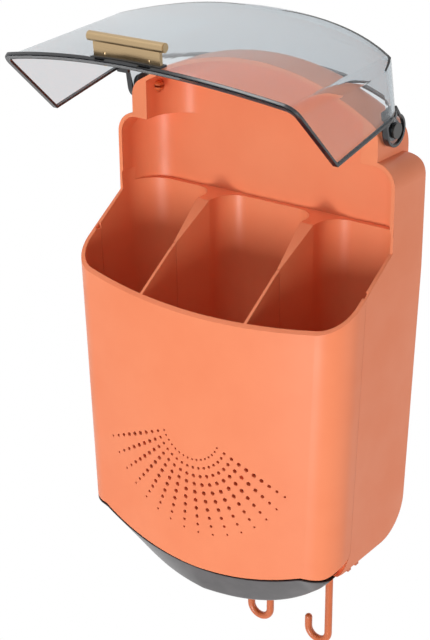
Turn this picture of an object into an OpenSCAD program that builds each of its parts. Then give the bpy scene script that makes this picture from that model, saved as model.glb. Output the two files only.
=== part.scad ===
// Chopstick holder with flip lid, wall hung. Millimetres, +Z up, wall surface at y = 0, front towards -Y.
// z = 0 is the level of the rim at the seam between the rear housing and the front shell.

/* [Body] */
// width across the rim
body_w = 200; // [194:1:206]
// depth from the back of the housing to the middle of the bowed front
body_d = 95; // [93:1:97]
// depth of the rear housing, back to seam
seam_d = 61; // [60:1:62]
// rise of the bow across the front
bow_rise = 12; // [10:1:14]
// radius of the front corners seen from above
corner_r = 20.5; // [18:0.5:22]
// inward lean of each side below the rim, degrees
side_lean = 1.88; // [1.6:0.05:2]
// slope of the rim, degrees
rim_slope = 34; // [33:0.5:35]
// depth of the compartments below the rim at the seam
well_h = 175.5; // [172:0.5:179]
// wall thickness of housing and front shell
wall = 2.6; // [2.4:0.1:2.8]
// drop of the skirt below the floor in the middle of the front
skirt_drop = 15; // [13:1:16]

/* [Upper housing] */
// depth of the wings and of the arch
wing_d = 34; // [33:0.5:35]
// height of the shoulders above the rim
shoulder_h = 70; // [68:1:72]
// radius of the shoulders
shoulder_r = 14; // [12:0.5:15]
// rounding of the rear edge of the shoulders
shoulder_back_r = 8; // [7:0.5:9]
// inset of the part above the shoulders from each side of the rim
shoulder_in = 12; // [11.7:0.1:12.5]
// thickness of the ears that carry the hinge pins
ear_t = 11.2; // [10:0.2:12]
// rounding between ears and arch
ear_r = 12; // [11:0.5:13]
// height of the top of the arch above the rim
arch_h = 114.5; // [113.5:0.25:115]
// radius of the arch
arch_r = 158; // [154:1:160]
// rounding of the rear edge of the arch
arch_back_r = 13; // [12.5:0.5:14]

/* [Dividers] */
// middle of each divider from the middle of the holder
divider_x = 38.2; // [36:0.2:40]
// thickness of the front webs
web_t = 1.9; // [1.6:0.1:2.2]
// width of the rear wedge at the crease
wedge_w = 9.3; // [8.6:0.1:10]
// height of the shelf behind the crease
shelf_h = 22; // [21:0.5:23]
// depth of the ledge along the top of the rear walls of the compartments
ledge = 3.5; // [3:0.1:4]

/* [Lid] */
// opening angle in the rest pose, degrees
lid_open = 78; // [74:1:80]
// thickness of the hood
lid_t = 2.2; // [2:0.1:2.3]
// radius of the front corners of the hood
lid_corner_r = 7; // [6:0.5:9]
// backward lean of the hood front, degrees
lid_lean = 8; // [7:0.5:9]
// height of the hood roof above the rim
lid_top = 118; // [117.8:0.1:118.4]
// depth of the hinge axis from the back of the housing
hinge_d = 22.5; // [22:0.1:23]
// height of the hinge axis above the rim
hinge_h = 86.5; // [86.2:0.1:86.8]
// radius of the hinge pins
pin_r = 2.6; // [2.4:0.1:2.8]
// length of the bead of the lid pull
pull_l = 51; // [48:1:56]
// how far the pull sits to the left of the middle
pull_off = 3.5; // [0:0.5:5]

/* [Drip tray and hooks] */
// depth of the tray below the skirt in the middle
tray_h = 24; // [22:1:26]
// thickness of the tray walls
tray_t = 2; // [1.8:0.1:2.2]
// thickness of the hook rod
hook_t = 4.8; // [4.4:0.1:5]
// distance from stem to tip of a hook
hook_reach = 15; // [13:0.5:16]
// depth of the bend of a hook below the rail
hook_drop = 55; // [48:1:60]
// rest position of the middle hook
hook_mid_x = 24; // [20:1:30]
// rest position of the right hook
hook_end_x = 69; // [62:1:70]

/* [Wall fixing] */
// distance from the wall to the back of the housing
standoff = 8; // [7.6:0.1:9]
// thickness of the wall plate
plate_t = 3; // [2.8:0.1:3.2]
// thickness of the adhesive pad
pad_t = 0.8; // [0.6:0.1:1]
// distance between the two wall screws
screw_pitch = 50; // [46:1:54]
// radius of the wall screw holes
screw_r = 2.2; // [2:0.1:2.4]

/* [Hidden] */
$fn = 96;
seat = 0.05;
seam_gap = 0.1;
run = 0.06;
gap = 0.3;
hw = body_w / 2;
ear_x = hw - shoulder_in;
tp = tan(side_lean);
bow_r = (hw * hw + bow_rise * bow_rise) / (2 * bow_rise);
bow_c = bow_r - body_d;
floor_t = 2.5;
floor_z = -well_h - floor_t;
back_y = -5.5;
well_back = back_y - ledge;
recess_d = 3;
recess_in = 8;
heel_r = 24;
toe_r = 15;
foot_r = 8;
well_r = 20;
heel_in = 17;
flare_r = 14;
lap = 3.6;
lap_t = wall / 2 - gap / 2;
nose_y = lap + gap - seam_d;
arch_c = arch_h - arch_r;
ear_mid = sqrt((arch_r - ear_r) * (arch_r - ear_r) - (ear_x - ear_r) * (ear_x - ear_r));
slope = tan(rim_slope);
crease_y = shelf_h / slope - seam_d;
skirt_x = hw - 23.8;
skirt_r = (skirt_x * skirt_x + skirt_drop * skirt_drop) / (2 * skirt_drop);
skirt_c = floor_z - skirt_drop + skirt_r;
void_top = shelf_h - wall;
void_low = floor_z + heel_r + 6;
void_x = wedge_w / 2 - 2.1;
fan_z = -95.4;
fan_in = 22;
fan_out = 72;
lid_x = hw - 1.5;
lid_r = lid_top - arch_h + arch_r - 1.5;
lid_c = lid_top - lid_r;
lid_side_r = 28;
lid_edge_r = 20;
lid_low = (seam_d - body_d) * slope + gap;
lid_back = -wing_d - 1.6;
washer_t = 1.2;
lobe_x = ear_x + washer_t + 0.2;
lobe_t = 2.6;
lobe_r = 9.5;
ra = lid_r - lid_edge_r;
face_y = (lid_c + ra - lid_low) * tan(lid_lean) - body_d;
edge_y = face_y + lid_edge_r / cos(lid_lean);
pull_z = 7.5;
rail_t = 1.2;
rail_l = pull_l - 4;
stud_x = 15;
tray_top = floor_z - 1.3;
tray_low = floor_z - skirt_drop - 1 - tray_h;
tray_x = hw + floor_z * tp - 3;
hull_h = tray_top - tray_low;
hull_r = (tray_x * tray_x + hull_h * hull_h) / (2 * hull_h);
tray_back = -51;
tray_lean = 34;
guide_x = hw - 20;
guide_y = 15 - body_d;
guide_h = 4.2;
chan_y = -43;
chan_w = 12;
chan_h = 11.5;
chan_x = hw + floor_z * tp - 8;
slot_w = hook_t + 0.6;
head_w = 8.2;
chan_low = floor_z - seat - chan_h;
rail_screw_x = chan_x - 6;
tab_x = 20;
tab_y = 5 - seam_d;
tip_h = 4;
bar_h = 6;
plate_w = 120;
plate_h = 56;
hang_w = 8;
pad_x = hw - 36;
drain_x = hw - 34;
pad_z = -118;

function rim_z(y) = (y + seam_d) * slope;

module at_wall() translate([0, -standoff, 0]) children();

// extrude a front view backwards to forwards, from y down to y - d
module from_front(y, d) translate([0, y, 0]) rotate([90, 0, 0]) linear_extrude(d) children();

// extrude a side view over the width
module from_side(w) rotate([90, 0, 90]) linear_extrude(w, center = true) children();

module both() {
  children();
  mirror([1, 0, 0]) children();
}

// piece outside a round corner with its centre at x, y, towards sx, sy
module nick(x, y, r, sx, sy) {
  difference() {
    translate([x + min(0, sx * (r + 1)), y + min(0, sy * (r + 1))]) square(r + 1);
    translate([x, y]) circle(r = r);
  }
}

// plan with the bow and the two front corners, each tangent into bow and side
module plan(half, in, r = corner_r) {
  cx = half - r;
  cy = bow_c - sqrt((bow_r - r) * (bow_r - r) - cx * cx);
  k = 1.02 * bow_r / (bow_r - r);
  intersection() {
    translate([0, bow_c]) circle(r = bow_r - in, $fn = 720);
    polygon([[in - half, 20], [half - in, 20], [half - in, cy], [cx, cy], [cx * k, bow_c + (cy - bow_c) * k],
      [0, -180], [-cx * k, bow_c + (cy - bow_c) * k], [-cx, cy], [in - half, cy]]);
  }
  for (s = [-1, 1]) translate([s * cx, cy]) circle(r = r - in);
}

// body form seen from above, with sides leaning in below the rim
module form(in) {
  both() intersection() {
    leaning(hw) plan(hw, in);
    translate([0, -140, -240]) cube([140, 180, 280]);
  }
}

module leaning(x) translate([x, 0, 0]) rotate([0, side_lean, 0]) translate([-x, 0, -230]) {
  linear_extrude(260) children();
}

// front view of the rear housing up to the shoulders and ears
module front_outline(in) {
  low = -230;
  top = ear_mid + arch_c;
  difference() {
    polygon([[-hw + in - low * tp, low], [hw - in + low * tp, low], [hw - in, 0], [hw - in, shoulder_h - in],
      [ear_x - in, shoulder_h - in], [ear_x - in, top], [in - ear_x, top], [in - ear_x, shoulder_h - in],
      [in - hw, shoulder_h - in], [in - hw, 0]]);
    for (s = [-1, 1]) nick(s * (hw - shoulder_r), shoulder_h - shoulder_r, shoulder_r - in, s, 1);
  }
}

// front view of the arch between the ears, with round corners
module arch_outline(in) {
  cx = ear_x - ear_r;
  k = 1.03 * arch_r / (arch_r - ear_r);
  intersection() {
    translate([0, arch_c]) circle(r = arch_r - in, $fn = 360);
    polygon([[in - ear_x, shoulder_h - 20], [ear_x - in, shoulder_h - 20], [ear_x - in, arch_c + ear_mid],
      [cx, arch_c + ear_mid], [cx * k, arch_c + ear_mid * k], [0, 160], [-cx * k, arch_c + ear_mid * k],
      [-cx, arch_c + ear_mid], [in - ear_x, arch_c + ear_mid]]);
  }
  for (s = [-1, 1]) translate([s * cx, arch_c + ear_mid]) circle(r = ear_r - in);
}

// block with the front outline and the arch, from y down to y - d
module front_block(y, d, in) {
  from_front(y, d) {
    front_outline(in);
    arch_outline(in);
  }
}

// side view of the rear housing with its round heel
module side_view() {
  difference() {
    polygon([[-seam_d, floor_z], [-seam_d, 0], [-wing_d, rim_z(-wing_d)], [-wing_d, 170], [0, 170],
      [0, floor_z]]);
    nick(-heel_r, floor_z + heel_r, heel_r, 1, -1);
  }
}

// side view of the toe of the housing under the rear corner of the front shell
module toe_view() {
  difference() {
    translate([3 - seam_d - toe_r, floor_z]) square([toe_r - 2.99, toe_r - 3]);
    translate([-seam_d - toe_r, floor_z + toe_r]) circle(r = toe_r + seam_gap);
  }
}

module centre_well_plan() {
  x0 = divider_x - web_t / 2;
  x1 = divider_x - wedge_w / 2;
  y1 = well_back - flare_r;
  polygon([[-x0, -seam_d - 1], [x0, -seam_d - 1], [x0, nose_y], [x1, crease_y], [x1, y1],
    [x1 - flare_r, well_back], [flare_r - x1, well_back], [-x1, y1], [-x1, crease_y], [-x0, nose_y]]);
  for (s = [-1, 1]) translate([s * (x1 - flare_r), y1]) circle(r = flare_r);
}

module side_well_plan() {
  x0 = divider_x + web_t / 2;
  x1 = divider_x + wedge_w / 2;
  y1 = well_back - flare_r;
  polygon([[x0, -seam_d - 1], [hw + 20, -seam_d - 1], [hw + 20, well_back], [x1 + flare_r, well_back],
    [x1, y1], [x1, crease_y], [x0, nose_y]]);
  translate([x1 + flare_r, y1]) circle(r = flare_r);
}

// plan of a side wall from inside with its round rear corner
module side_wall_plan(x) {
  difference() {
    translate([-120, -seam_d - 20]) square([120 + x, seam_d + 20 + well_back]);
    translate([x - well_r, well_back - well_r]) square([well_r + 1, well_r + 1]);
  }
  translate([x - well_r, well_back - well_r]) circle(r = well_r);
}

module well_side_view() {
  difference() {
    translate([-seam_d - 1, -well_h]) square([seam_d + 1 + well_back, 400]);
    nick(well_back - heel_in, heel_in - well_h, heel_in, 1, -1);
  }
}

module wells() {
  intersection() {
    union() {
      translate([0, 0, -well_h - 1]) linear_extrude(well_h + 60) centre_well_plan();
      both() intersection() {
        translate([0, 0, -well_h - 1]) linear_extrude(well_h + 60) side_well_plan();
        leaning(hw) side_wall_plan(hw - wall);
      }
    }
    from_side(300) well_side_view();
  }
}

// room above the rim and the shelf, inside the wings and the arch
module upper_room() {
  difference() {
    front_block(back_y, seam_d + 4, wall);
    from_side(300) polygon([[-seam_d - 12, rim_z(-seam_d - 12)], [crease_y, shelf_h], [5, shelf_h], [5, -240],
      [-seam_d - 12, -240]]);
    both() translate([0, 0, -10]) linear_extrude(shoulder_h - wall + 10) {
      nick(hw - wall - well_r, back_y - well_r, well_r, 1, 1);
    }
    both() translate([0, 0, shoulder_h - wall]) linear_extrude(80) {
      nick(ear_x - ear_t - well_r, back_y - well_r, well_r, 1, 1);
    }
    both() translate([ear_x - ear_t, -60, shoulder_h - wall]) cube([20, 70, 80]);
    arch_rounding(arch_back_r - wall, -back_y);
  }
}

// what a rounding of radius r takes off the rear edge of the arch, at depth d
module arch_rounding(r, d) {
  intersection() {
    translate([0, 0, arch_c]) rotate([90, 0, 0]) rotate_extrude($fn = 360) {
      nick(arch_r - arch_back_r, r + d, r, 1, -1);
    }
    translate([-hw, -60, shoulder_h + 3]) cube([body_w, 70, 100]);
  }
}

// what the rounding takes off the rear edge of the shoulders
module shoulder_back() {
  both() translate([ear_x, 0, 0]) rotate([90, 0, 90]) linear_extrude(20) {
    nick(-shoulder_back_r, shoulder_h - shoulder_back_r, shoulder_back_r, 1, 1);
  }
}

// hollows behind the dividers, open to the back, each with a bar to hang from
module hang_voids() {
  both() difference() {
    translate([divider_x, 0, void_low]) linear_extrude(void_top - void_low) {
      polygon([[-8, 1], [8, 1], [8, well_back + 1.5], [4.9, well_back - 2], [void_x, well_back - 10],
        [void_x, crease_y + 1], [-void_x, crease_y + 1], [-void_x, well_back - 10], [-4.9, well_back - 2],
        [-8, well_back + 1.5]]);
    }
    translate([divider_x - 12, -recess_d - 3, -bar_h]) cube([24, 3, bar_h]);
  }
}

module corner_voids() {
  both() intersection() {
    translate([0, -20, void_low]) cube([hw + 9, 21, shoulder_h - shoulder_r - void_low]);
    translate([hw, 0, 0]) rotate([0, side_lean, 0]) translate([-hw, 0, -200]) {
      linear_extrude(200) corner_void_plan();
    }
  }
  both() linear_extrude(shoulder_h - shoulder_r - 2) corner_void_plan();
}

module corner_void_plan() {
  difference() {
    translate([hw - wall - well_r, -well_r + 5]) square([well_r, well_r - 4]);
    translate([hw - wall - well_r, back_y - well_r]) circle(r = well_r + wall);
  }
}

module drain_holes(y0, y1) {
  for (x = [-drain_x, 0, drain_x]) for (dx = [-12, 0, 12]) for (y = [y0, y1]) {
    translate([x + dx, y, floor_z - 1]) cylinder(r = 2.5, h = floor_t + 2, $fn = 32);
  }
}

module rear_housing() color("#EE8763") at_wall() {
  difference() {
    union() {
      intersection() {
        front_block(0, seam_d, 0);
        from_side(300) side_view();
      }
      difference() {
        intersection() {
          form(0);
          from_side(300) toe_view();
        }
        form(wall);
      }
    }
    wells();
    upper_room();
    intersection() {
      front_block(1, recess_d + 1, recess_in);
      translate([-hw, -20, void_low]) cube([2 * hw, 40, 400]);
    }
    for (s = [-1, 1]) translate([s * divider_x - web_t / 2 - 0.1, -seam_d - 1, -well_h]) {
      cube([web_t + 0.2, 1 + nose_y + seam_d, 240]);
    }
    arch_rounding(arch_back_r, 0);
    shoulder_back();
    hang_voids();
    corner_voids();
    drain_holes(-46, -30);
    intersection() {
      form(wall / 2);
      translate([-hw, -seam_d - 1, -well_h]) cube([2 * hw, lap + gap + 1, 200]);
      both() translate([hw - 14, -80, -200]) cube([30, 60, 400]);
    }
    for (s = [-1, 1]) translate([s * (ear_x - ear_t / 2), -hinge_d, hinge_h]) rotate([0, 90, 0]) {
      cylinder(r = pin_r + seat, h = ear_t + 12, center = true, $fn = 48);
    }
    for (s = [-1, 1]) translate([s * (ear_x - ear_t - 3), -hinge_d, hinge_h]) rotate([0, 90, 0]) {
      cylinder(r = 4.6, h = 6, center = true, $fn = 48);
    }
    for (s = [-1, 1]) translate([s * tab_x, tab_y, floor_z - 1]) cylinder(r = 1.3, h = 20, $fn = 32);
    for (s = [-1, 1]) translate([s * rail_screw_x, chan_y, floor_z - 1]) {
      cylinder(r = 1.3, h = 20, $fn = 32);
    }
  }
  for (s = [-1, 1]) screw_boss(s * tab_x, tab_y);
  for (s = [-1, 1]) screw_boss(s * rail_screw_x, chan_y);
}

module screw_boss(x, y) {
  difference() {
    translate([x, y, floor_z + 0.5]) cylinder(r = 3.4, h = floor_t + 5, $fn = 48);
    translate([x, y, floor_z - 1]) cylinder(r = 1.3, h = 20, $fn = 32);
  }
}

// front view of the front shell with the skirt and round feet
module shell_view() {
  x = hw + floor_z * tp;
  translate([-hw - 5, floor_z + foot_r]) square([body_w + 10, 200]);
  translate([foot_r - x, floor_z]) square([2 * (x - foot_r), 40]);
  for (s = [-1, 1]) translate([s * (x - foot_r), floor_z + foot_r]) circle(r = foot_r, $fn = 64);
  intersection() {
    translate([20 - hw, floor_z - 30]) square([body_w - 40, 60]);
    translate([0, skirt_c]) circle(r = skirt_r, $fn = 720);
  }
}

module shell_side_view() {
  y = -seam_d - seam_gap;
  polygon([[y, -seam_gap * slope], [-130, rim_z(-130)], [-130, -230], [y, -230]]);
}

// lower rear corners of the side walls, where the toe of the housing goes
module toe_room() {
  difference() {
    from_side(300) nick(-seam_d - toe_r, floor_z + toe_r, toe_r, 1, -1);
    form(wall + 0.2);
  }
}

module fan_vents() {
  for (i = [0:15]) for (k = [0:9]) {
    a = 204 + i * 8.8;
    q = fan_in + (fan_out - fan_in) * k / 9;
    d = 1.2 + 1.6 * sin(180 * (k + 0.5) / 10);
    translate([q * cos(a), -body_d - 5, fan_z + q * sin(a)]) rotate([-90, 0, 0]) {
      cylinder(d = d, h = 24, $fn = 24);
    }
  }
}

module front_shell() color("#F5946F") at_wall() {
  difference() {
    intersection() {
      form(0);
      from_front(-seam_d, 80) shell_view();
      from_side(300) shell_side_view();
    }
    intersection() {
      form(wall);
      translate([-hw - 5, -130, -well_h]) cube([body_w + 10, 130, 300]);
      webs_left_out();
    }
    intersection() {
      form(wall);
      translate([-hw - 5, -130, -230]) cube([body_w + 10, 130, 230 + floor_z]);
    }
    toe_room();
    fan_vents();
    drain_holes(-82, -68);
  }
  web_tails();
  side_tongues();
  tray_guides();
  for (s = [-1, 1]) difference() {
    translate([s * tab_x - 6, -seam_d - 4, floor_z - 2.4]) cube([12, 13, 2.4 - seat]);
    translate([s * tab_x, tab_y, floor_z - 4]) cylinder(r = 1.7, h = 10, $fn = 32);
  }
  for (s = [-1, 1]) translate([s * tab_x - 6, -seam_d - 4, floor_z - 1]) cube([12, 3.9, 1.2]);
}

// everything except the two webs
module webs_left_out() {
  difference() {
    translate([-hw - 5, -130, -230]) cube([body_w + 10, 130, 400]);
    for (s = [-1, 1]) translate([s * divider_x - web_t / 2, -130, -231]) cube([web_t, 130, 402]);
  }
}

// the webs reach behind the seam up to the noses of the housing
module web_tails() {
  for (s = [-1, 1]) intersection() {
    translate([s * divider_x - web_t / 2, -seam_d - 1, -well_h + gap]) {
      cube([web_t, 1 + nose_y + seam_d - gap, 200]);
    }
    from_side(300) polygon([[-seam_d - 2, -200], [-seam_d - 2, rim_z(-seam_d - 2) - gap], [0, rim_z(0) - gap],
      [0, -200]]);
  }
}

// tongues that lap inside the side walls of the housing
module side_tongues() {
  intersection() {
    difference() {
      form(wall - lap_t);
      form(wall);
    }
    from_side(300) polygon([[-seam_d - 1, floor_z + toe_r + 1], [-seam_d - 1, rim_z(-seam_d - 1) - 0.4],
      [lap - seam_d, rim_z(-seam_d - 1) - 0.4], [lap - seam_d, floor_z + toe_r + 1]]);
    both() translate([hw - 13, -80, -200]) cube([30, 60, 400]);
  }
  intersection() {
    difference() {
      form(wall / 2);
      form(wall);
    }
    from_side(300) polygon([[-seam_d - 3, floor_z + toe_r + 1], [-seam_d - 3, rim_z(-seam_d - 3) - 0.4],
      [-seam_d, rim_z(-seam_d - 3) - 0.4], [-seam_d, floor_z + toe_r + 1]]);
    both() translate([hw - 13, -80, -200]) cube([30, 60, 400]);
  }
}

// two angle guides under the floor that carry the lips of the tray
module tray_guides() {
  both() {
    translate([guide_x - 1, guide_y, floor_z - guide_h]) cube([1.6, -seam_d - 0.4 - guide_y, guide_h + 0.2]);
    translate([guide_x - 1, guide_y, floor_z - guide_h]) cube([4.2, -seam_d - 0.4 - guide_y, 1.2]);
  }
}

module pan_screw(head_r, head_h, rod_r, rod_l) {
  difference() {
    translate([0, 0, -head_h]) cylinder(r = head_r, h = head_h, $fn = 48);
    translate([-0.5, -2, -head_h - 0.1]) cube([1, 4, 1.1]);
    translate([-2, -0.5, -head_h - 0.1]) cube([4, 1, 1.1]);
  }
  translate([0, 0, -0.01]) cylinder(r = rod_r, h = rod_l, $fn = 32);
}

module shell_screws() color("#B9BCC0") at_wall() {
  for (s = [-1, 1]) translate([s * tab_x, tab_y, floor_z - 2.4 - seat]) pan_screw(2.7, 1.8, 1.25, 9);
}

module wall_pads() color("#4A4A4C") at_wall() {
  for (s = [-1, 1]) translate([s * pad_x, seat - recess_d, pad_z]) rotate([-90, 0, 0]) {
    cylinder(r = 8, h = recess_d - seat + standoff);
  }
}

module wall_plate() color("#E6E4DF") {
  difference() {
    union() {
      translate([-plate_w / 2, -pad_t - seat - plate_t, -plate_h / 2]) cube([plate_w, plate_t, plate_h]);
      for (s = [-1, 1]) translate([s * divider_x, 0, 0]) hang_hook();
    }
    for (s = [-1, 1]) translate([s * screw_pitch / 2, 0, 0]) rotate([90, 0, 0]) {
      cylinder(r = screw_r, h = 20, $fn = 48);
      translate([0, 0, pad_t + seat + plate_t - 1.8]) {
        cylinder(r1 = screw_r, r2 = screw_r + 1.9, h = 1.9, $fn = 48);
      }
    }
  }
}

// upward hook that the bar of the housing drops into
module hang_hook() {
  y0 = -pad_t - seat - plate_t + 0.5;
  y1 = -standoff - recess_d - 3 - gap;
  translate([-hang_w / 2, y1 - 3, -bar_h - seat - 3.4]) cube([hang_w, y0 - y1 + 3, 3.4]);
  translate([-hang_w / 2, y1 - 3, -bar_h - seat - 3.4]) cube([hang_w, 3, bar_h + 3.4 + tip_h]);
}

module adhesive_pad() color("#CFCFCB") {
  difference() {
    translate([-plate_w / 2 + 1, -pad_t, -plate_h / 2 + 1]) cube([plate_w - 2, pad_t, plate_h - 2]);
    for (s = [-1, 1]) translate([s * screw_pitch / 2, 1, 0]) rotate([90, 0, 0]) {
      cylinder(r = screw_r, h = 5, $fn = 48);
    }
  }
}

module hinge_pin() at_wall() translate([0, -hinge_d, hinge_h]) rotate([0, 90, 0]) {
  difference() {
    union() {
      translate([0, 0, ear_x - ear_t - 3]) {
        cylinder(r = pin_r, h = lobe_x + lobe_t - ear_x + ear_t + 3.1, $fn = 48);
      }
      translate([0, 0, ear_x - ear_t - 3.4]) {
        cylinder(r1 = pin_r - 0.2, r2 = pin_r + 0.8, h = 3.4 - seat, $fn = 48);
      }
      translate([0, 0, lobe_x + lobe_t + 0.1]) cylinder(r = 4.6, h = 1.5, $fn = 48);
    }
    translate([-0.6, -6, ear_x - ear_t - 4]) cube([1.2, 12, 6]);
  }
}

module hinge_pin_left() color("#E0703F") mirror([1, 0, 0]) hinge_pin();

module hinge_pin_right() color("#E0703F") hinge_pin();

module hinge_washer() at_wall() translate([ear_x + 0.1, -hinge_d, hinge_h]) rotate([0, 90, 0]) difference() {
  cylinder(r = 6.2, h = washer_t, $fn = 64);
  translate([0, 0, -1]) cylinder(r = pin_r + seat, h = 5, $fn = 48);
}

module hinge_washer_left() color("#39393B") mirror([1, 0, 0]) hinge_washer();

module hinge_washer_right() color("#39393B") hinge_washer();

module lid_pose() at_wall() translate([0, -hinge_d, hinge_h]) rotate([-lid_open, 0, 0]) {
  translate([0, hinge_d, -hinge_h]) children();
}

// local frame of the hood front: z runs up the leaning face
module on_face() translate([0, -body_d, lid_low]) rotate([-lid_lean, 0, 0]) children();

// front view of the hood
module hood_view(in) {
  cx = lid_x - lid_side_r;
  dz = sqrt((lid_r - lid_side_r) * (lid_r - lid_side_r) - cx * cx);
  k = 1.03 * lid_r / (lid_r - lid_side_r);
  intersection() {
    translate([0, lid_c]) circle(r = lid_r - in, $fn = 360);
    polygon([[0, -90], [lid_x - in, -90], [lid_x - in, lid_c + dz], [cx, lid_c + dz],
      [cx * k, lid_c + dz * k], [0, 160], [-cx * k, lid_c + dz * k], [-cx, lid_c + dz],
      [in - lid_x, lid_c + dz], [in - lid_x, -90]]);
  }
  for (s = [-1, 1]) translate([s * cx, lid_c + dz]) circle(r = lid_side_r - in);
}

module hood(in) {
  difference() {
    intersection() {
      from_front(0, 140) hood_view(in);
      on_face() translate([0, body_d, -80]) linear_extrude(300) plan(lid_x, in, lid_corner_r);
    }
    intersection() {
      translate([0, 0, lid_c]) rotate([90, 0, 0]) rotate_extrude($fn = 360) difference() {
        translate([ra + (lid_edge_r - in) * sin(lid_lean), -edge_y]) square([30, 90]);
        translate([ra, -edge_y]) circle(r = lid_edge_r - in - 0.08, $fn = 96);
      }
      translate([-120, -150, 40]) cube([240, 160, 100]);
    }
  }
}

module lid() color("#9FA6AA", 0.6) lid_pose() difference() {
  union() {
    difference() {
      intersection() {
        hood(0);
        from_side(300) polygon([[lid_back, rim_z(lid_back) + gap], [lid_back, 160], [-140, 160],
          [-140, rim_z(-140) + gap]]);
      }
      hood(lid_t);
    }
    both() lobe();
  }
  both() translate([ear_x - 5, -hinge_d, hinge_h]) rotate([0, 90, 0]) {
    cylinder(r = pin_r + run, h = 20, $fn = 48);
  }
  on_face() pull_studs(1.5, -5, 12);
}

// two studs across the hood front, from y
module pull_studs(r, y, h) {
  for (s = [-1, 1]) translate([s * stud_x - pull_off, y, pull_z]) rotate([-90, 0, 0]) {
    cylinder(r = r, h = h, $fn = 32);
  }
}

// lobe that carries the hood on its hinge pin, outside the ear
module lobe() {
  translate([lobe_x, 0, 0]) rotate([90, 0, 90]) linear_extrude(lobe_t) {
    translate([-hinge_d, hinge_h]) circle(r = lobe_r, $fn = 64);
    polygon([[lid_back - 1, hinge_h - 9], [lid_back - 1, hinge_h + 2], [-hinge_d, hinge_h + lobe_r],
      [-hinge_d, hinge_h - lobe_r]]);
  }
  intersection() {
    from_front(0, 60) hood_view(0);
    translate([lobe_x, 0, 0]) rotate([90, 0, 90]) linear_extrude(12) polygon([[lid_back - 1.5, hinge_h - 11],
      [lid_back - 1.5, hinge_h + 3], [lid_back + 1.4, hinge_h + 3], [lid_back + 1.4, hinge_h - 11]]);
  }
}

module pull_rail() color("#47484B") lid_pose() on_face() difference() {
  intersection() {
    translate([0, bow_r, pull_z - 3]) cylinder(r = bow_r + rail_t, h = 6, $fn = 720);
    translate([-pull_off - rail_l / 2, -5, 0]) cube([rail_l, 12, 40]);
  }
  translate([0, bow_r, -10]) cylinder(r = bow_r + seat, h = 60, $fn = 720);
  pull_studs(1.5, -5, 12);
}

module lid_pull() color("#D3B78E") lid_pose() on_face() {
  x = pull_l / 2;
  difference() {
    translate([3 - x - pull_off, -11, pull_z - 1.1]) cube([2 * x - 6, 11, 2.2]);
    translate([0, bow_r, -10]) cylinder(r = bow_r + rail_t + seat, h = 60, $fn = 720);
  }
  translate([-x - pull_off, -10.6, pull_z]) rotate([0, 90, 0]) {
    cylinder(r = 2.7, h = 2 * x);
    translate([0, 0, -0.4]) cylinder(r = 2.3, h = 2 * x + 0.8);
  }
  pull_studs(1.45, -3, 5.2 + lid_t);
}

// plan of the tray, with its front corners in short straight steps
module tray_plan(in) {
  half = hw + floor_z * tp;
  cx = half - corner_r;
  cy = bow_c - sqrt((bow_r - corner_r) * (bow_r - corner_r) - cx * cx);
  q = corner_r - 0.8 - in;
  polygon(concat([[-cx - q, 20], [cx + q, 20]], [for (a = [0:12:72]) [cx + q * cos(a), cy - q * sin(a)]],
    [[0, -150]], [for (a = [72:-12:0]) [-cx - q * cos(a), cy - q * sin(a)]]));
}

module tray_block(in, low) {
  intersection() {
    translate([-hw, -130, -230]) cube([body_w, 130 + tray_back - in, 230 + tray_top]);
    translate([0, 0, low + hull_r]) rotate([90, 0, 0]) cylinder(r = hull_r - in, h = 140, $fn = 720);
    translate([0, 1 - body_d, floor_z - skirt_drop - 1]) rotate([tray_lean, 0, 0]) {
      translate([0, bow_r, -60]) cylinder(r = bow_r - in, h = 160, $fn = 720);
    }
    translate([0, bow_c, -230]) cylinder(r = bow_r - 0.8 - in, h = 100, $fn = 720);
    translate([0, 0, -230]) linear_extrude(100) tray_plan(in);
  }
}

module drip_tray() color("#5A5456") at_wall() {
  difference() {
    tray_block(0, tray_low);
    difference() {
      tray_block(tray_t, tray_low);
      both() translate([guide_x + 1.2, -89, tray_top - 1.6]) cube([20, 60, 5]);
    }
    translate([0, 0, skirt_c]) rotate([90, 0, 0]) cylinder(r = skirt_r + 1, h = 140, $fn = 720);
    both() translate([guide_x - 1.6, tray_back - 4, tray_top - 3.6]) cube([5.4, 8, 8]);
  }
}

module hook_rail() color("#E2764A") at_wall() difference() {
  translate([-chan_x, chan_y - chan_w / 2, chan_low]) cube([2 * chan_x, chan_w, chan_h]);
  translate([-chan_x - 1, chan_y - head_w / 2 - gap, chan_low + 2]) {
    cube([2 * chan_x + 2, head_w + 2 * gap, 7]);
  }
  translate([-chan_x - 1, chan_y - slot_w / 2, chan_low - 1]) cube([2 * chan_x + 2, slot_w, 5]);
  for (s = [-1, 1]) translate([s * rail_screw_x, chan_y, chan_low]) cylinder(r = 1.7, h = 20, $fn = 32);
}

module rail_screws() color("#B9BCC0") at_wall() {
  for (s = [-1, 1]) translate([s * rail_screw_x, chan_y, chan_low + 9 - seat]) {
    pan_screw(2.6, 1.8, 1.25, 9);
  }
}

// hook with its sliding head in the rail, tip to the left
module hook() {
  r = hook_reach / 2;
  z0 = chan_low + 2 + 0.1;
  zc = chan_low - hook_drop;
  translate([-5, -head_w / 2, z0]) cube([10, head_w, 4.2]);
  translate([0, 0, zc]) cylinder(d = hook_t, h = z0 - zc + 1, $fn = 48);
  translate([-r, 0, zc]) rotate([90, 0, 0]) intersection() {
    rotate_extrude() translate([r, 0]) circle(d = hook_t, $fn = 48);
    translate([-40, -80, -10]) cube([80, 80, 20]);
  }
  translate([-2 * r, 0, zc]) cylinder(d = hook_t, h = 6, $fn = 48);
  translate([-2 * r, 0, zc + 6]) sphere(d = hook_t, $fn = 48);
}

module hook_middle() color("#E2764A") at_wall() translate([hook_mid_x, chan_y, 0]) hook();

module hook_right() color("#E2764A") at_wall() translate([hook_end_x, chan_y, 0]) hook();

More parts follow.
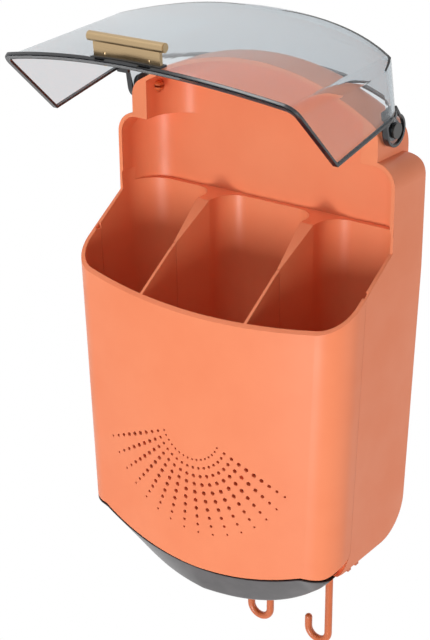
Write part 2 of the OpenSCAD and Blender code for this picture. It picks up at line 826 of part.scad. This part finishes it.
wall_plate();
adhesive_pad();
rear_housing();
front_shell();
shell_screws();
wall_pads();
hinge_pin_left();
hinge_pin_right();
hinge_washer_left();
hinge_washer_right();
lid();
pull_rail();
lid_pull();
drip_tray();
hook_rail();
rail_screws();
hook_middle();
hook_right();
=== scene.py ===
"""Wall-hung chopstick holder with a flip-up smoky hood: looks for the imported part.

Units are metres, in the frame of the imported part: wall surface at y = 0, front towards -Y,
z = 0 at the rim where front shell and rear housing meet. Values that are said to be in
millimetres are turned into metres with MM.
"""

import math

import bmesh
import bpy
from mathutils import Matrix, Vector
from mathutils.bvhtree import BVHTree


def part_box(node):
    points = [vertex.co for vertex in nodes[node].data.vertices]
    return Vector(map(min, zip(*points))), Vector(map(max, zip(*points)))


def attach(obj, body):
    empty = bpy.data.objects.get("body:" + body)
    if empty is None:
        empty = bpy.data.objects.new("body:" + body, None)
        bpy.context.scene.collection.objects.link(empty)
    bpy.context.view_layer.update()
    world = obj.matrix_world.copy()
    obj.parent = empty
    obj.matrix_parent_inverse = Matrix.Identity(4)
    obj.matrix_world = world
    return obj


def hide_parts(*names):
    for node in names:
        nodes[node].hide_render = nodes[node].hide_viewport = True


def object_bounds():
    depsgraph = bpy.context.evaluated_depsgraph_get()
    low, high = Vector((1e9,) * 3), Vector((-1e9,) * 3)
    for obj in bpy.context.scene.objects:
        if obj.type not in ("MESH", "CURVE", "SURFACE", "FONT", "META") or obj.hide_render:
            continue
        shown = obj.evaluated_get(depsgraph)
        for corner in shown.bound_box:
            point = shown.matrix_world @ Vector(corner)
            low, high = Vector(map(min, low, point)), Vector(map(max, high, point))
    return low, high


MM = 0.001

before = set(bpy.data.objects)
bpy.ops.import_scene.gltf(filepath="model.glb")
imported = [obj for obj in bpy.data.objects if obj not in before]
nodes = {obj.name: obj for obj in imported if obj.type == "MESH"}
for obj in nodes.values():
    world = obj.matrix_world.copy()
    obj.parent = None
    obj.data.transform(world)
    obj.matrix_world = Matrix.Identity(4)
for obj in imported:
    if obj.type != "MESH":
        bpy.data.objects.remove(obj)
cad_low, cad_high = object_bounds()

# ---------------------------------------------------------------- camera

# solved from the straight edges of the body in the photograph; place in millimetres
CAMERA_AT = Vector((506.4, -748.3, 331.3)) * MM
LOOK_AZIMUTH = math.radians(37.0)
LOOK_DOWN = math.radians(23.545)
ROLL = math.radians(-0.559)
FOCAL_PX = 1536.77
IMAGE_H = 640
SENSOR_MM = 36.0


def make_camera():
    """The photograph's camera: its lens is given in pixels of the image's longer side."""
    a, e, r = LOOK_AZIMUTH, LOOK_DOWN, ROLL
    forward = Vector((-math.sin(a) * math.cos(e), math.cos(a) * math.cos(e), -math.sin(e)))
    level = Vector((math.cos(a), math.sin(a), 0))
    up = level.cross(forward)
    right = level * math.cos(r) + up * math.sin(r)
    top = up * math.cos(r) - level * math.sin(r)
    data = bpy.data.cameras.new("camera")
    data.sensor_fit = "AUTO"
    data.sensor_width = SENSOR_MM
    data.lens = FOCAL_PX * SENSOR_MM / IMAGE_H
    data.clip_start, data.clip_end = 0.05, 20
    camera = bpy.data.objects.new("camera", data)
    bpy.context.scene.collection.objects.link(camera)
    turn = Matrix((right, top, -forward)).transposed().to_4x4()
    camera.matrix_world = Matrix.Translation(CAMERA_AT) @ turn
    bpy.context.scene.camera = camera


make_camera()

# ---------------------------------------------------------------- shader helpers


def rgb(code):
    """Linear colour with alpha 1 from an sRGB hex code."""
    parts = [int(code[i : i + 2], 16) / 255 for i in (0, 2, 4)]
    linear = [c / 12.92 if c <= 0.04045 else ((c + 0.055) / 1.055) ** 2.4 for c in parts]
    return (*linear, 1.0)


WHITE = (1, 1, 1, 1)


def new_material(name):
    """An empty material; returns it with its node tree and its output node."""
    made = bpy.data.materials.new(name)
    made.use_nodes = True
    made.node_tree.nodes.clear()
    return made, made.node_tree, made.node_tree.nodes.new("ShaderNodeOutputMaterial")


def add(tree, kind, settings=None, inputs=None, out=0):
    """Adds a node; its inputs are values or links, and it returns one of its outputs."""
    node = tree.nodes.new("ShaderNode" + kind)
    for key, value in (settings or {}).items():
        setattr(node, key, value)
    for key, value in (inputs or {}).items():
        if isinstance(value, bpy.types.NodeSocket):
            tree.links.new(value, node.inputs[key])
        else:
            node.inputs[key].default_value = value
    return node.outputs[out]


def in_object(tree):
    """Place on the piece in its own metres, so that a texture moves with it."""
    return add(tree, "TexCoord", out="Object")


def noise(tree, place, size_mm, detail):
    """Cloudy noise with lumps of about this size."""
    return add(
        tree,
        "TexNoise",
        inputs={"Vector": place, "Scale": 1 / (size_mm * MM), "Detail": detail},
    )


def stretched(tree, value, low, high, new_low=0.0, new_high=1.0):
    """Turns the range low to high into new_low to new_high, cut off at both ends."""
    return add(tree, "MapRange", inputs={0: value, 1: low, 2: high, 3: new_low, 4: new_high})


def mixed(tree, factor, one, two):
    """Colour one at factor 0 and two at factor 1; 6, 7 and out 2 are the colour sockets."""
    return add(tree, "Mix", {"data_type": "RGBA"}, {0: factor, 6: one, 7: two}, out=2)


def math_node(tree, operation, *values):
    """A Math node on one or two values or links."""
    return add(tree, "Math", {"operation": operation}, dict(enumerate(values)))


def surface(tree, output, inputs):
    """Ends a material with a Principled shader that has these inputs."""
    tree.links.new(add(tree, "BsdfPrincipled", inputs=inputs), output.inputs["Surface"])


def seen_rays(tree):
    """1 for rays from the camera, off gloss and through glass; 0 for those that light."""
    paths = tree.nodes.new("ShaderNodeLightPath").outputs
    seen = math_node(tree, "MAXIMUM", paths["Is Camera Ray"], paths["Is Glossy Ray"])
    return math_node(tree, "MAXIMUM", seen, paths["Is Transmission Ray"])


# ---------------------------------------------------------------- materials

GLOSS_SPREAD = 0.06
EDGE_ROUNDING_MM = 0.5


def moulded(
    name, light, dark, roughness, grain_mm, depth_mm, ior=1.5, shine=0.5, flow_mm=40.0, cap=None
):
    """Injection-moulded plastic: faint flow clouds in colour and gloss, and a tool texture.

    grain_mm and depth_mm are the size and the depth of the texture. cap is a second colour
    and the distance from the middle, in millimetres, where it starts.
    """
    made, tree, output = new_material(name)
    place = in_object(tree)
    flow = noise(tree, place, flow_mm, 3.0)
    colour = mixed(tree, stretched(tree, flow, 0.35, 0.65), rgb(light), rgb(dark))
    if cap:
        cap_colour, cap_from = cap
        across = math_node(tree, "ABSOLUTE", add(tree, "SeparateXYZ", inputs={0: place}))
        beyond = math_node(tree, "GREATER_THAN", across, cap_from * MM)
        colour = mixed(tree, beyond, colour, rgb(cap_colour))
    low, high = roughness - GLOSS_SPREAD, roughness + GLOSS_SPREAD
    bump = {
        "Strength": 0.25,
        "Distance": depth_mm * MM,
        "Height": noise(tree, place, grain_mm, 2.0),
        "Normal": add(tree, "Bevel", {"samples": 4}, {"Radius": EDGE_ROUNDING_MM * MM}),
    }
    inputs = {
        "Base Color": colour,
        "Roughness": stretched(tree, flow, 0.3, 0.7, low, high),
        "IOR": ior,
        "Specular IOR Level": shine,
        "Normal": add(tree, "Bump", inputs=bump),
    }
    surface(tree, output, inputs)
    return made


# coral ABS from a polished tool: soft satin sheen, colour almost even
coral = moulded("coral_abs_moulded", "F58E63", "F2895E", 0.38, 0.9, 0.02, shine=0.3)
# hooks and their rail: the same ABS in a deeper batch, slightly glossier
hook_abs = moulded("deep_coral_abs_moulded", "DB7240", "D26836", 0.34, 0.9, 0.02, ior=1.53)
# hinge pins: that ABS at the end that shows inside the ears, with a blackened outer head
pin_abs = moulded(
    "deep_coral_abs_blackened_head",
    "DB7240",
    "D26836",
    0.34,
    0.9,
    0.02,
    ior=1.53,
    cap=("33312F", 88.0),
)
# washers and the rail under the pull: dark plastic with a fine matt texture
dark_pp = moulded("charcoal_polypropylene_moulded", "3F4043", "353639", 0.48, 0.5, 0.04, ior=1.49)
# wall plate: white polypropylene, fine matt
white_pp = moulded("white_polypropylene_moulded", "E6E4DF", "DEDCD6", 0.45, 0.6, 0.03, ior=1.49)
# wall pads: black rubber, dull with a coarse skin
pad_rubber = moulded("black_rubber_pressed", "4A4A4C", "3E3E40", 0.75, 0.7, 0.08, ior=1.52)
# adhesive foam: pale, quite dull, open grain
foam = moulded("acrylic_foam_die_cut", "CFCFCB", "C4C4C0", 0.85, 0.5, 0.12, ior=1.45)
# lip of the hood: painted dark. The smoke plastic is clear, and its edge looks almost black only
# where light runs through the dyed plastic along its depth, so that look is painted on as a
# near-black colour
painted_dark_lip = moulded(
    "smoke_polystyrene_lip_painted_dark", "1F2126", "17181C", 0.2, 1.2, 0.01, ior=1.59, flow_mm=25.0
)


def hood_smoke():
    """Clear polystyrene with smoke dye: light goes straight through it to what it shades."""
    tint = rgb("C2CCD2")
    made, tree, output = new_material("smoke_polystyrene_polished")
    ripple = noise(tree, in_object(tree), 60, 1.0)
    bump = {"Strength": 0.1, "Distance": 0.2 * MM, "Height": ripple}
    glass = {
        "Base Color": WHITE,
        "Roughness": 0.02,
        "IOR": 1.45,
        "Transmission Weight": 1.0,
        "Specular IOR Level": 0.15,
        "Normal": add(tree, "Bump", inputs=bump),
    }
    shader = {
        0: add(tree, "LightPath", out="Is Shadow Ray"),
        1: add(tree, "BsdfPrincipled", inputs=glass),
        2: add(tree, "BsdfTransparent", inputs={"Color": tint}),
    }
    dye = add(tree, "VolumeAbsorption", inputs={"Color": tint, "Density": 300.0})
    tree.links.new(add(tree, "MixShader", inputs=shader), output.inputs["Surface"])
    tree.links.new(dye, output.inputs["Volume"])
    return made


def tray_smoke():
    """Dark smoke polystyrene: nearly opaque, with soft clouds, polished outside."""
    made, tree, output = new_material("dark_smoke_polystyrene_polished")
    cloud = stretched(tree, noise(tree, in_object(tree), 12, 4.0), 0.4, 0.65)
    colour = mixed(tree, cloud, rgb("332E30"), rgb("433D3F"))
    surface(tree, output, {"Base Color": colour, "Roughness": 0.3, "IOR": 1.5})
    return made


def anodised():
    """Champagne anodised aluminium: brushed along the bead, soft wide highlights."""
    made, tree, output = new_material("champagne_aluminium_brushed_anodised")
    # brush lines about 0.25 mm apart and some centimetres long, drawn along X
    brushed = {"Vector": in_object(tree), "Scale": (30.0, 4000.0, 4000.0)}
    drawn = add(tree, "Mapping", inputs=brushed)
    lines = add(tree, "TexNoise", inputs={"Vector": drawn, "Scale": 1.0, "Detail": 2.0})
    bump = {"Strength": 0.15, "Distance": 0.03 * MM, "Height": lines}
    inputs = {
        "Base Color": mixed(tree, lines, rgb("C4AB86"), rgb("A9906C")),
        "Metallic": 1.0,
        "Roughness": stretched(tree, lines, 0.3, 0.7, 0.26, 0.4),
        "Normal": add(tree, "Bump", inputs=bump),
    }
    surface(tree, output, inputs)
    return made


def zinc():
    """Zinc-plated steel screws: bright grey with a faint spangle of 0.8 mm."""
    made, tree, output = new_material("zinc_plated_steel")
    cells = {"Vector": in_object(tree), "Scale": 1 / (0.8 * MM)}
    spangle = add(tree, "TexVoronoi", inputs=cells)
    inputs = {
        "Base Color": mixed(tree, spangle, rgb("BFC2C6"), rgb("AFB3B8")),
        "Metallic": 1.0,
        "Roughness": stretched(tree, spangle, 0.0, 1.0, 0.25, 0.38),
    }
    surface(tree, output, inputs)
    return made


smoke_tray = tray_smoke()
zinc_steel = zinc()

FINISH = {
    "wall_plate": white_pp,
    "adhesive_pad": foam,
    "rear_housing": coral,
    "front_shell": coral,
    "shell_screws": zinc_steel,
    "wall_pads": pad_rubber,
    "hinge_pin_left": pin_abs,
    "hinge_pin_right": pin_abs,
    "hinge_washer_left": dark_pp,
    "hinge_washer_right": dark_pp,
    "lid": hood_smoke(),
    "pull_rail": dark_pp,
    "lid_pull": anodised(),
    "drip_tray": smoke_tray,
    "hook_rail": hook_abs,
    "rail_screws": zinc_steel,
    "hook_middle": hook_abs,
    "hook_right": hook_abs,
}

for name, node in nodes.items():
    node.data.materials.clear()
    node.data.materials.append(FINISH[name])


def piece_from(mesh, name, material, body, sharp=50):
    """A shown piece from a bmesh: smooth but for edges sharper than the angle given."""
    data = bpy.data.meshes.new(name)
    mesh.to_mesh(data)
    mesh.free()
    data.materials.append(material)
    data.shade_smooth()
    data.set_sharp_from_angle(angle=math.radians(sharp))
    piece = bpy.data.objects.new(name, data)
    bpy.context.scene.collection.objects.link(piece)
    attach(piece, body)
    return piece


# ---------------------------------------------------------------- drip tray

# driving sizes in millimetres: the body's from the frame, the rest as in the part's source
BODY_HALF = cad_high.x / MM
BODY_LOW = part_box("rear_housing")[0].z / MM
FRONT_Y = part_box("front_shell")[0].y / MM
BOW_RISE = 12.0
CORNER_R = 20.5
SIDE_LEAN = math.radians(1.88)
SKIRT_IN = 23.8
SKIRT_DROP = 15.0
TRAY_BELOW_SKIRT = 1.0
TRAY_GAP = 0.8
TRAY_WALL = 2.0

# circle of the bowed front, half width at the floor, and circle of the tray's upper edge
BOW_R = (BODY_HALF**2 + BOW_RISE**2) / (2 * BOW_RISE)
BOW_MID = FRONT_Y + BOW_R
FLOOR_HALF = BODY_HALF + math.tan(SIDE_LEAN) * BODY_LOW
SKIRT_HALF = BODY_HALF - SKIRT_IN
SKIRT_R = (SKIRT_HALF**2 + SKIRT_DROP**2) / (2 * SKIRT_DROP) + TRAY_BELOW_SKIRT
SKIRT_MID = BODY_LOW - SKIRT_DROP - TRAY_BELOW_SKIRT + SKIRT_R

# form of the hull: upright band, lean of the front in the middle and at the ends, and how
# late the bottom rises towards the ends
RIM_BAND = 0.4
LEAN_MID = math.radians(26)
LEAN_END = math.radians(46)
HULL_POWER = 3.0
ROUNDINGS = (3, 6, 3)

# lips at the ends of the tray that run on the guides: size and place of the right one
RUNNER_SIZE = Vector((7.4, 27.0, 1.6))
RUNNER_X = 84.9
RUNNER_Y = -74.5

TRAY_STEPS = 72
EDGE_STEPS = 6


def corner_rounded(points, radii):
    """Polyline with an arc of EDGE_STEPS + 1 points at each inner corner."""
    made = [points[0]]
    for a, b, c, r in zip(points, points[1:], points[2:], radii):
        one, two = a - b, c - b
        if min(one.length, two.length) < 1e-6:
            made += [b] * (EDGE_STEPS + 1)
            continue
        half = one.angle(two) / 2
        cut = min(r / max(math.tan(half), 1e-6), 0.45 * one.length, 0.45 * two.length)
        start, end = b + one.normalized() * cut, b + two.normalized() * cut
        for k in range(EDGE_STEPS + 1):
            s = k / EDGE_STEPS
            made.append(start * (1 - s) ** 2 + b * 2 * s * (1 - s) + end * s**2)
    return made + [points[-1]]


def tray_front(x, inset):
    """Depth of the tray's upright front at x, millimetres."""
    r = BOW_R - TRAY_GAP - inset
    cx = FLOOR_HALF - CORNER_R
    reach = BOW_R - CORNER_R
    x = abs(x)
    if x < cx * r / reach:
        return BOW_MID - math.sqrt(r * r - x * x)
    q = CORNER_R - TRAY_GAP - inset
    cy = BOW_MID - math.sqrt(reach * reach - cx * cx)
    return cy - math.sqrt(max(q * q - (x - cx) ** 2, 0))


def tray_section(x, inset, top, low, back, reach):
    """Section of the tray at x from the front rim round the bottom to the back rim."""
    z_top = min(top, SKIRT_MID - math.sqrt(SKIRT_R**2 - x * x))
    z_low = min(low + inset + (top - low - inset) * (abs(x) / reach) ** HULL_POWER, z_top)
    front = tray_front(x, inset)
    back = back - inset
    lean = LEAN_MID + (LEAN_END - LEAN_MID) * abs(x) / FLOOR_HALF
    turn_z = max(z_top - RIM_BAND, z_low)
    foot_y = min(front + (turn_z - z_low) * math.tan(lean), back)
    corners = [(front, z_top), (front, turn_z), (foot_y, z_low), (back, z_low), (back, z_top)]
    return [(x, *p) for p in corner_rounded([Vector(c) for c in corners], ROUNDINGS)]


def add_runner(mesh, side, top):
    """Flat lip at one end of the tray."""
    lip = bmesh.ops.create_cube(mesh, size=1)["verts"]
    for v in lip:
        v.co.x = side * (RUNNER_X + RUNNER_SIZE.x * v.co.x) * MM
        v.co.y = (RUNNER_Y + RUNNER_SIZE.y * v.co.y) * MM
        v.co.z = (top + RUNNER_SIZE.z * (v.co.z - 0.5)) * MM
    if side < 0:
        bmesh.ops.reverse_faces(mesh, faces=list({f for v in lip for f in v.link_faces}))


def make_tray():
    """Smooth boat-shaped tray with an outer and an inner skin and two lips for the guides."""
    box_low, box_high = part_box("drip_tray")
    half, back = box_high.x / MM, box_high.y / MM
    top, low = box_high.z / MM, box_low.z / MM
    mesh = bmesh.new()
    skins = []
    for inset, reach in ((0, half), (TRAY_WALL, half - TRAY_WALL)):
        rows = []
        for i in range(TRAY_STEPS + 1):
            x = reach * math.sin(math.pi * (i / TRAY_STEPS - 0.5))
            section = tray_section(x, inset, top, low, back, reach)
            rows.append([mesh.verts.new(Vector(p) * MM) for p in section])
        skins.append(rows)
    outer, inner = skins
    last = len(outer[0]) - 1
    for i in range(TRAY_STEPS):
        for j in range(last):
            mesh.faces.new((outer[i][j], outer[i][j + 1], outer[i + 1][j + 1], outer[i + 1][j]))
            mesh.faces.new((inner[i][j], inner[i + 1][j], inner[i + 1][j + 1], inner[i][j + 1]))
        for j in (0, last):
            mesh.faces.new((outer[i][j], outer[i + 1][j], inner[i + 1][j], inner[i][j]))
    for i in (0, TRAY_STEPS):
        for j in range(last):
            mesh.faces.new((outer[i][j], inner[i][j], inner[i][j + 1], outer[i][j + 1]))
    bmesh.ops.remove_doubles(mesh, verts=mesh.verts, dist=0.01 * MM)
    bmesh.ops.recalc_face_normals(mesh, faces=mesh.faces)
    for side in (-1, 1):
        add_runner(mesh, side, top)
    tray = piece_from(mesh, "drip_tray_moulding", smoke_tray, "drip tray")
    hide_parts("drip_tray")


make_tray()

# ---------------------------------------------------------------- lip of the hood

# millimetres: how far the bead stands out of the hood's outer face, inner face and edge,
# how deep it reaches over the faces, and a point inside the hood that tells the faces apart
LIP_OUT = 0.95
LIP_IN = 0.1
LIP_BELOW = 0.05
LIP_DEPTH = 1.5
HOOD_MID = Vector((0, -75, 90))

# a ray into the plastic that goes deeper than this, in millimetres, or doesn't come out
# at an opposite face starts on the edge; the ray starts just under the face
WALL_AT_MOST = 3.36
OPPOSITE = -0.9
UNDER_FACE = 0.05
SAME_POINT = 0.004


def connected(faces):
    """Splits a set of faces into groups that hang together along edges."""
    groups = []
    while faces:
        stack = [faces.pop()]
        group = []
        while stack:
            face = stack.pop()
            group.append(face)
            for other in {f for edge in face.edges for f in edge.link_faces} & faces:
                faces.remove(other)
                stack.append(other)
        groups.append(group)
    return groups


def lip_faces(mesh):
    """Faces of the hood's free edge: behind them the plastic goes deeper than its wall."""
    tree = BVHTree.FromBMesh(mesh)
    found = set()
    for face in mesh.faces:
        start = face.calc_center_median() - face.normal * UNDER_FACE * MM
        place, normal, _, depth = tree.ray_cast(start, -face.normal)
        if place is None or depth > WALL_AT_MOST * MM or normal.dot(face.normal) > OPPOSITE:
            found.add(face)
    return set(max(connected(found), key=lambda group: sum(f.calc_area() for f in group)))


def make_lip():
    """Bead round the free edge of the hood, a little thicker than the wall."""
    source = bmesh.new()
    source.from_mesh(nodes["lid"].data)
    bmesh.ops.remove_doubles(source, verts=source.verts, dist=SAME_POINT * MM)
    source.normal_update()
    rim = lip_faces(source)
    # in the order of the hood's mesh, since a set's own order changes from run to run
    rim_in_order = [face for face in source.faces if face in rim]
    mesh = bmesh.new()
    outer, inner = {}, {}
    for v in dict.fromkeys(v for face in rim_in_order for v in face.verts):
        side = sum((f.normal for f in v.link_faces if f not in rim), Vector()).normalized()
        side *= LIP_OUT if side.dot(v.co / MM - HOOD_MID) > 0 else LIP_IN
        down = sum((f.normal for f in v.link_faces if f in rim), Vector()).normalized()
        outer[v] = mesh.verts.new(v.co + (side + down * LIP_BELOW) * MM)
        inner[v] = mesh.verts.new(v.co + (side - down * LIP_DEPTH) * MM)
    for face in rim_in_order:
        mesh.faces.new([outer[v] for v in face.verts])
        mesh.faces.new([inner[v] for v in reversed(face.verts)])
        for loop in face.loops:
            a, b = loop.vert, loop.link_loop_next.vert
            if sum(f in rim for f in loop.edge.link_faces) == 1:
                mesh.faces.new((outer[b], outer[a], inner[a], inner[b]))
    source.free()
    # the bead gets the painted near-black that stands for the dark look of the hood's clear edge
    piece_from(mesh, "lid_lip", painted_dark_lip, "lid")


make_lip()

# ---------------------------------------------------------------- light and surroundings

FLOOR_Z = cad_low.z - 0.9
FLOOR_REACH = 6.0
WORLD_LIGHT = 0.16
PART_MID = Vector((0, -0.05, -0.02))


def make_floor():
    """Pale floor that shows white and keeps a soft shadow."""
    data = bpy.data.meshes.new("floor")
    corners = [(-1, -1), (1, -1), (1, 1), (-1, 1)]
    verts = [(x * FLOOR_REACH, y * FLOOR_REACH, FLOOR_Z) for x, y in corners]
    data.from_pydata(verts, [], [(0, 1, 2, 3)])
    floor = bpy.data.objects.new("floor", data)
    bpy.context.scene.collection.objects.link(floor)
    made, tree, output = new_material("pale_floor")
    shader = {
        0: seen_rays(tree),
        1: add(tree, "BsdfDiffuse", inputs={"Color": (0.8, 0.8, 0.8, 1)}),
        2: add(tree, "Emission", inputs={"Color": WHITE, "Strength": 1.0}),
    }
    tree.links.new(add(tree, "MixShader", inputs=shader), output.inputs["Surface"])
    data.materials.append(made)


def make_world():
    """Even studio light, seen as white by the camera, in reflections and through glass."""
    world = bpy.data.worlds.new("studio")
    world.use_nodes = True
    tree = world.node_tree
    tree.nodes.clear()
    output = tree.nodes.new("ShaderNodeOutputWorld")
    shader = {
        0: seen_rays(tree),
        1: add(tree, "Background", inputs={"Color": WHITE, "Strength": WORLD_LIGHT}),
        2: add(tree, "Background", inputs={"Color": WHITE, "Strength": 1.0}),
    }
    tree.links.new(add(tree, "MixShader", inputs=shader), output.inputs["Surface"])
    bpy.context.scene.world = world


def lamp(name, at, size, power, mirrored=True):
    """A square softbox aimed at the part, not seen itself; mirrored: gloss may show it."""
    data = bpy.data.lights.new(name, "AREA")
    data.shape = "SQUARE"
    data.size = size
    data.energy = power
    made = bpy.data.objects.new(name, data)
    bpy.context.scene.collection.objects.link(made)
    made.location = at
    made.visible_camera = False
    made.visible_transmission = False
    made.visible_glossy = mirrored
    made.rotation_mode = "QUATERNION"
    made.rotation_quaternion = (PART_MID - Vector(at)).to_track_quat("-Z", "Y")


make_floor()
make_world()
lamp("key_softbox", at=(0.2, -2.2, -0.55), size=0.8, power=30)
lamp("top_softbox", at=(-0.3, -1.2, 1.9), size=1.0, power=20)
lamp("rear_softbox", at=(-0.5, 2.2, 0.8), size=1.2, power=24, mirrored=False)
lamp("fill_softbox", at=(1.9, 0.25, -0.1), size=0.8, power=14)

bpy.context.scene.view_settings.view_transform = "Standard"

bpy.context.view_layer.update()
